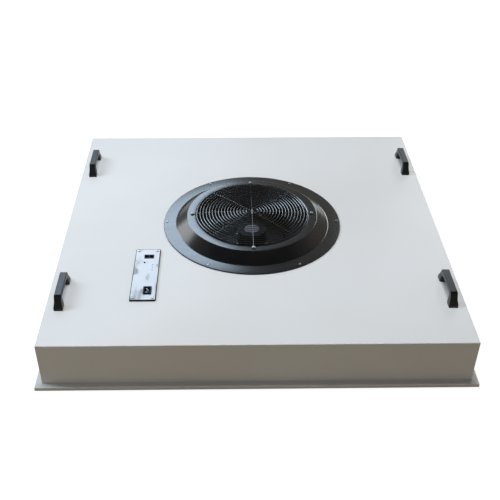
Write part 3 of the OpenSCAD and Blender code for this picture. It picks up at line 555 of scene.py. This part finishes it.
# inlet ring: flange, cone, flat land, rolled mouth, shelf and throat
ring = {
    "flangeR": 0.282, "flangeT": 0.004, "coneR": 0.242, "topR": 0.207, "land": 0.0324, "mouthR": 0.175,
    "wallR": 0.167, "shelf": 0.009, "throatR": 0.122, "throat": 0.028, "throatT": 0.002, "hip": 0.012,
    "skin": 0.003, "steps": 192, "segments": 7, "edgeRound": 0.0012, "footRound": 0.009,
    "topRound": 0.005, "mouthRound": 0.008, "wallRound": 0.018, "throatRound": 0.017, "hipBack": 0.014,
    "wallBack": 0.021, "mouthBack": 0.005, "topBack": 0.002,
}
base = 0.145
under = ring["land"] - ring["skin"]
coneAngle = math.atan2(ring["land"] - ring["flangeT"], ring["coneR"] - ring["topR"])
throatOut = ring["throatR"] + ring["throatT"]
bm = bmesh.new()
spun(bm, [
    (ring["flangeR"], base, 0), (ring["flangeR"], base + ring["flangeT"], ring["edgeRound"]),
    (ring["coneR"], base + ring["flangeT"], ring["footRound"]),
    (ring["topR"], base + ring["land"], ring["topRound"]),
    (ring["mouthR"], base + ring["land"], ring["mouthRound"]), (ring["wallR"], base, ring["wallRound"]),
    (ring["throatR"], base - ring["shelf"], ring["throatRound"]),
    (ring["throatR"], base - ring["throat"], 0), (throatOut, base - ring["throat"], 0),
    (throatOut, base - ring["hip"], ring["hipBack"]),
    (ring["wallR"] + ring["skin"], base - ring["skin"], ring["wallBack"]),
    (ring["mouthR"] + ring["skin"], base + under, ring["mouthBack"]),
    (ring["topR"] - ring["skin"] / 2, base + under, ring["topBack"]),
    (ring["coneR"] - ring["skin"] / math.sin(coneAngle), base, 0),
], steps=ring["steps"], segments=ring["segments"])
makePiece("inletRing", bm, "inlet_ring", smooth=40)
print("inlet ring made")

# finger guard: rings welded on domed spokes, with four screwed eyelets
guard = {
    "rings": 17, "pitch": 0.0098, "first": 0.019, "wire": 0.0011, "spoke": 0.0014, "rise": 0.007,
    "eyeletAt": 0.190, "eyelet": 0.0052, "weld": 0.0005, "sides": 10, "innerR": 0.06, "innerSteps": 64,
    "outerSteps": 128, "spokeSteps": 48, "eyeletSteps": 32,
}
land = base + ring["land"]
spokeEnd = guard["eyeletAt"] - guard["eyelet"]
domeR = (spokeEnd ** 2 + guard["rise"] ** 2) / (2 * guard["rise"])
domeZ = land + guard["spoke"] + guard["rise"] - domeR
lastRing = guard["first"] + (guard["rings"] - 1) * guard["pitch"]


def wireRing(bm, radius, height, wire, steps, centre=(0, 0)):
    made = bmesh.ops.create_circle(bm, segments=guard["sides"], radius=wire)["verts"]
    bmesh.ops.rotate(bm, verts=made, cent=(0, 0, 0), matrix=Matrix.Rotation(math.pi / 2, 3, "X"))
    bmesh.ops.translate(bm, verts=made, vec=(centre[0] + radius, centre[1], height))
    rim = list({e for v in made for e in v.link_edges})
    bmesh.ops.spin(bm, geom=made + rim, cent=(*centre, 0), axis=(0, 0, 1), angle=2 * math.pi, steps=steps,
                   use_merge=True)


def wireSpoke(bm, reach, turn):
    span = math.asin(reach / domeR)
    made = bmesh.ops.create_circle(bm, segments=guard["sides"], radius=guard["spoke"])["verts"]
    bmesh.ops.rotate(bm, verts=made, cent=(0, 0, 0), matrix=Matrix.Rotation(math.pi / 2, 3, "Y"))
    bmesh.ops.translate(bm, verts=made, vec=(0, 0, domeZ + domeR))
    bmesh.ops.rotate(bm, verts=made, cent=(0, 0, domeZ), matrix=Matrix.Rotation(-span, 3, "Y"))
    rim = list({e for v in made for e in v.link_edges})
    swept = bmesh.ops.spin(bm, geom=made + rim, cent=(0, 0, domeZ), axis=(0, 1, 0), angle=2 * span,
                           steps=guard["spokeSteps"])
    for loop in (rim, [g for g in swept["geom_last"] if isinstance(g, bmesh.types.BMEdge)]):
        bmesh.ops.holes_fill(bm, edges=loop, sides=guard["sides"])
    tube = set(made)
    grown = True
    while grown:
        more = {e.other_vert(v) for v in tube for e in v.link_edges} - tube
        grown = bool(more)
        tube |= more
    bmesh.ops.rotate(bm, verts=list(tube), cent=(0, 0, 0), matrix=Matrix.Rotation(turn, 3, "Z"))


bm = bmesh.new()
for i in range(guard["rings"]):
    radius = guard["first"] + i * guard["pitch"]
    height = domeZ + math.sqrt(domeR ** 2 - radius ** 2) + guard["spoke"] + guard["wire"] - guard["weld"]
    steps = guard["innerSteps"] if radius < guard["innerR"] else guard["outerSteps"]
    wireRing(bm, radius, height, guard["wire"], steps)
for eighths, reach in ((0, spokeEnd), (2, spokeEnd), (1, lastRing), (-1, lastRing)):
    wireSpoke(bm, reach, eighths * math.pi / 4)
for i in range(4):
    side = Matrix.Rotation(i * math.pi / 2, 3, "Z") @ Vector((guard["eyeletAt"], 0, 0))
    wireRing(bm, guard["eyelet"], land + guard["spoke"], guard["spoke"], guard["eyeletSteps"], side.xy)
bmesh.ops.remove_doubles(bm, verts=bm.verts, dist=weld)
bmesh.ops.recalc_face_normals(bm, faces=bm.faces)
makePiece("fingerGuard", bm, "finger_guard", smooth=60)
print("finger guard made")


screwSizes = {
    "ring": {
        "headR": 0.0036, "headH": 0.0018, "shankL": 0.009, "reach": 0.0019, "width": 0.0008,
        "depth": 0.0011,
    },
    "guard": {
        "headR": 0.0046, "headH": 0.0024, "shankL": 0.0125, "reach": 0.0025, "width": 0.001,
        "depth": 0.0014,
    },
    "panel": {
        "headR": 0.0038, "headH": 0.0018, "shankL": 0.0125, "reach": 0.002, "width": 0.0009,
        "depth": 0.0012,
    },
}
screws = {
    "shankR": 0.002, "steps": 28, "segments": 4, "upward": 0.3, "draft": 0.7, "ringR": 0.272, "ringN": 6,
    "panelX": 0.028, "panelY": 0.1145, "panelAt": (-0.3195, -0.2785), "panelTop": 0.1505,
}


# pan-head screw with a cross sunk into the top of its head
def crossScrew(headR, headH, shankL, reach, width, depth):
    bm = bmesh.new()
    shankR = screws["shankR"]
    spun(bm, [
        (0, -shankL, 0), (shankR, -shankL, shankR * 0.3), (shankR, 0, 0), (headR, 0, 0),
        (headR, headH, headH * 0.75), (headR * 0.5, headH, 0), (0, headH, 0),
    ], steps=screws["steps"], segments=screws["segments"], closed=False)
    for turn in (0, math.pi / 2):
        spinTo = Matrix.Rotation(turn, 3, "Z")
        for side in (-1, 1):
            for place, normal in ((Vector((0, side * width / 2, 0)), Vector((0, 1, 0))),
                                  (Vector((side * reach, 0, 0)), Vector((1, 0, 0)))):
                bmesh.ops.bisect_plane(bm, geom=bm.verts[:] + bm.edges[:] + bm.faces[:], dist=planeDist,
                                       plane_co=spinTo @ place, plane_no=spinTo @ normal)
    inside = []
    for face in bm.faces:
        c = face.calc_center_median()
        onCross = min(abs(c.x), abs(c.y)) < width / 2 and max(abs(c.x), abs(c.y)) < reach
        if onCross and face.normal.z > screws["upward"] and c.z > headH * 0.5:
            inside.append(face)
    grown = bmesh.ops.extrude_face_region(bm, geom=inside)["geom"]
    sunk = [g for g in grown if isinstance(g, bmesh.types.BMVert)]
    bmesh.ops.delete(bm, geom=inside, context="FACES")
    for v in sunk:
        v.co.z = min(v.co.z, headH) - depth
        v.co.x *= screws["draft"]
        v.co.y *= screws["draft"]
    return bm


# one piece with a screw of one size at each place, its cross turned
def screwSet(name, node, size, places):
    source = crossScrew(**screwSizes[size])
    bm = bmesh.new()
    for x, y, z, turn in places:
        copyTo(bm, source, Matrix.Translation((x, y, z)) @ Matrix.Rotation(turn, 4, "Z"))
    source.free()
    makePiece(name, bm, node)


def around(radius, count, i):
    angle = i * 2 * math.pi / count
    return radius * math.cos(angle), radius * math.sin(angle)


screwSet("ringScrews", "ring_screws", "ring", [
    (*around(screws["ringR"], screws["ringN"], i), base + ring["flangeT"], 0.4 + i * 1.3)
    for i in range(screws["ringN"])
])
screwSet("guardScrews", "guard_screws", "guard", [
    (*around(guard["eyeletAt"], 4, i), land + 2 * guard["spoke"], 0.3 + i) for i in range(4)
])
screwSet("panelScrews", "panel_screws", "panel", [
    (screws["panelAt"][0] + sx * screws["panelX"], screws["panelAt"][1] + sy * screws["panelY"],
     screws["panelTop"], 0.5 * sx + 0.2 * sy)
    for sx in (-1, 1) for sy in (-1, 1)
])
print("screws made")

# bridge handle: an arch that tapers to its grip, with rounded edges
handle = {
    "at": (0.549, 0.368), "halfL": 0.0734, "topL": 0.0525, "gapL": 0.0468, "height": 0.040, "roof": 0.028,
    "lean": 0.003, "toe": 0.005, "toeRound": 0.003, "topRound": 0.009, "roofRound": 0.014, "segments": 7,
    "foot": 0.013, "grip": 0.0103, "flareLow": 0.005, "flareHigh": 0.025, "cuts": 8, "sharpTurn": 55,
    "round": 0.0022,
}
shell = bmesh.new()
topEnd = handle["topL"] + handle["lean"]
roofEnd = handle["gapL"] - handle["lean"]
outline(shell, [
    (-handle["halfL"], 0, 0), (-handle["halfL"], handle["toe"], handle["toeRound"]),
    (-topEnd, handle["height"], handle["topRound"]), (topEnd, handle["height"], handle["topRound"]),
    (handle["halfL"], handle["toe"], handle["toeRound"]), (handle["halfL"], 0, 0), (handle["gapL"], 0, 0),
    (roofEnd, handle["roof"], handle["roofRound"]), (-roofEnd, handle["roof"], handle["roofRound"]),
    (-handle["gapL"], 0, 0),
], handle["segments"])
bmesh.ops.rotate(shell, verts=shell.verts, cent=(0, 0, 0), matrix=Matrix.Rotation(math.pi / 2, 3, "Z"))
bmesh.ops.translate(shell, verts=shell.verts, vec=(-handle["foot"], 0, 0))
thicken(shell, (2 * handle["foot"], 0, 0))
flare = handle["flareHigh"] - handle["flareLow"]
for cut in range(handle["cuts"]):
    level = handle["flareLow"] + flare * (cut + 1) / (handle["cuts"] + 1)
    bmesh.ops.bisect_plane(shell, geom=shell.verts[:] + shell.edges[:] + shell.faces[:], dist=planeDist,
                           plane_co=(0, 0, level), plane_no=(0, 0, 1))
for v in shell.verts:
    share = min(max((v.co.z - handle["flareLow"]) / flare, 0), 1)
    eased = share * share * (3 - 2 * share)
    v.co.x *= 1 + (handle["grip"] / handle["foot"] - 1) * eased
turn = math.radians(handle["sharpTurn"])
rims = [e for e in shell.edges if e.calc_face_angle(0) > turn and max(v.co.z for v in e.verts) > 0.0001]
soften(shell, rims, handle["round"], 4)
for v in shell.verts:
    v.co.z = max(v.co.z, 0)
for end, sy in (("front", -1), ("rear", 1)):
    for side, sx in (("left", -1), ("right", 1)):
        node = "handle_" + end + "_" + side
        bm = bmesh.new()
        copyTo(bm, shell, Matrix.Translation((sx * handle["at"][0], sy * handle["at"][1], base)))
        makePiece(node + "_grip", bm, node, smooth=40, flat=0.0002)
shell.free()
print("handles made")

# rubber squeezed out all round the edge of the connection plate, made wide and high enough that its black
# rim also stands in for the shadow gap round the plate as a painted shadow line
bead = {
    "size": (0.071, 0.244), "out": 0.0018, "under": 0.0001, "corner": 0.0042, "low": 0.1451,
    "high": 0.1504, "round": 0.0004,
}
bm = bmesh.new()
corners = bmesh.ops.create_grid(bm, x_segments=1, y_segments=1, size=0.5)["verts"]
bmesh.ops.scale(bm, verts=corners, vec=(*(side + 2 * bead["out"] for side in bead["size"]), 1))
soften(bm, corners, bead["corner"], 6, "VERTICES")
hollow(bm, bead["out"] + bead["under"])
thicken(bm, (0, 0, bead["high"] - bead["low"]))
rims = [e for e in bm.edges if e.calc_face_angle(0) > 1 and min(v.co.z for v in e.verts) > 0.001]
soften(bm, rims, bead["round"], 3, clamp=True)
bmesh.ops.translate(bm, verts=bm.verts[:], vec=(*screws["panelAt"], bead["low"]))
# partly real squeezed rubber, partly a black line standing in for the shade in the gap round the plate
makePiece("gasketBeadAndShadowLine", bm, "panel_gasket", replaces=False, smooth=50)

# expanded mesh behind the ribs of the face guard: strands round each diamond, cut through and stretched
diamonds = {"half": 0.564, "across": 48, "along": 96, "strand": 0.0011, "low": 0.0079, "thick": 0.0005}
cellX = 2 * diamonds["half"] / diamonds["across"]
cellY = 2 * diamonds["half"] / diamonds["along"]
single = bmesh.new()
points = bmesh.ops.create_circle(single, cap_ends=True, segments=4, radius=0.5)["verts"]
bmesh.ops.scale(single, verts=points, vec=(cellX, cellY, 1))
hollow(single, diamonds["strand"])
thicken(single, (0, 0, diamonds["thick"]))
row = bmesh.new()
for i in range(diamonds["across"]):
    copyTo(row, single, Matrix.Translation(((i + 0.5) * cellX - diamonds["half"], 0, 0)))
bm = bmesh.new()
for j in range(diamonds["along"]):
    copyTo(bm, row, Matrix.Translation((0, (j + 0.5) * cellY - diamonds["half"], diamonds["low"])))
single.free()
row.free()
makePiece("expandedMesh", bm, "face_guard", replaces=False, smooth=20)
print("bead and mesh made")

# copies of the boxy and turned nodes, with the radius of their edges; at 0 the edges stay sharp
softened = {
    "case": 0, "panel_plate": 0.0002, "panel_gasket": 0.0003, "mains_inlet": 0.0004,
    "data_jack_left": 0.00025, "data_jack_right": 0.00025, "impeller": 0, "rotor": 0.0008,
    "rotor_badge": 0.0002, "push_key": 0, "status_lamps": 0, "power_lamp": 0, "sensor_lens": 0,
    "inlet_pins": 0.0002, "filter_frame": 0.0005, "filter_clamps": 0.0003, "clamp_screws": 0,
    "face_guard": 0.0002, "filter_gasket": 0.0006, "fan_deck": 0.0003,
}
for node, radius in softened.items():
    dress(node, radius)
print("copies dressed:", len(softened))

# stage: a pale floor, white to the eye and darker to the light that comes off it
stage = {
    "size": 14.0, "white": (0.25, 0.25, 0.25), "glow": (0.87, 0.87, 0.87), "bounce": (0.4, 0.33, 0.243),
    "roughness": 0.9,
}
toTheEye = ("Is Camera Ray", "Is Transmission Ray")
bm = bmesh.new()
bmesh.ops.create_grid(bm, x_segments=2, y_segments=2, size=stage["size"])
floorMesh = bpy.data.meshes.new("floor")
bm.to_mesh(floorMesh)
bm.free()
floor = bpy.data.objects.new("floor", floorMesh)
scene.collection.objects.link(floor)
look = Finish("floorPaper", stage["white"], stage["roughness"])
seen = look.rays(*toTheEye)
look.put("Base Color", look.blend(seen, stage["bounce"], stage["white"]))
look.put("Emission Color", look.blend(seen, (0, 0, 0), stage["glow"]))
look.put("Emission Strength", 1.0)
look.put("Specular IOR Level", 0.0)
floorMesh.materials.append(look.material)

# world: white to the eye, pale round the horizon and dim overhead for the light and the gloss
sky = {
    "strength": 1.0, "side": (0.21, 0.198, 0.175), "top": (0.032, 0.033, 0.036), "rise": (0.42, 0.85),
}
world = bpy.data.worlds.new("studio")
scene.world = world
world.use_nodes = True
air = Tree(world.node_tree)
background = world.node_tree.nodes["Background"]
height = air.node("SeparateXYZ", {}, {0: air.node("TexCoord", output="Generated")}, 2)
shade = air.blend(height.between(*sky["rise"]), sky["side"], sky["top"])
white = air.rays(*toTheEye)
world.node_tree.links.new(air.blend(white, shade, (1, 1, 1)).socket, background.inputs["Color"])
background.inputs["Strength"].default_value = sky["strength"]


# a lamp can be left out of the gloss or out of the diffuse light
def softbox(name, spot, aim, size, watts, colour, gloss=True, diffuse=True):
    lamp = bpy.data.lights.new(name, "AREA")
    lamp.shape = "RECTANGLE"
    lamp.size, lamp.size_y = size
    lamp.energy = watts
    lamp.color = colour
    holder = bpy.data.objects.new(name, lamp)
    holder.location = spot
    holder.rotation_mode = "QUATERNION"
    holder.rotation_quaternion = (Vector(aim) - Vector(spot)).to_track_quat("-Z", "Y")
    holder.visible_glossy = gloss
    holder.visible_diffuse = diffuse
    scene.collection.objects.link(holder)


lamps = {
    "window": {
        "spot": (-1.87, 3.85, 3.485), "aim": (-0.98, 2.07, 3.485), "size": (4.0, 2.25), "watts": 122,
        "colour": (0.64, 0.81, 1.0), "diffuse": False,
    },
    "paleWall": {
        "spot": (-4.5, 3.27, 2.4), "aim": (-0.1, 0, 0.15), "size": (3.1, 2.1), "watts": 45,
        "colour": (0.93, 0.96, 1.0), "diffuse": False,
    },
    "windowRight": {
        "spot": (2.2, 4.4, 2.1), "aim": (0.2, 0, 0.15), "size": (0.9, 2.6), "watts": 30,
        "colour": (0.9, 0.95, 1.0),
    },
    "overhead": {
        "spot": (0.0, 0.24, 5.0), "aim": (0, 0.24, 0.15), "size": (1.8, 0.6), "watts": 136,
        "colour": (1.0, 0.98, 0.95), "gloss": False,
    },
    "leftSide": {
        "spot": (-3.4, 0.4, 3.3), "aim": (0, 0.4, 0.15), "size": (1.1, 2.8), "watts": 94,
        "colour": (0.76, 0.88, 1.0), "gloss": False,
    },
    "fillFront": {
        "spot": (-1.4, -2.6, 1.7), "aim": (0, 0, 0.15), "size": (1.4, 1.0), "watts": 4,
        "colour": (1.0, 0.93, 0.82), "gloss": False,
    },
}
for name, lamp in lamps.items():
    softbox(name, **lamp)
print("stage and light set")
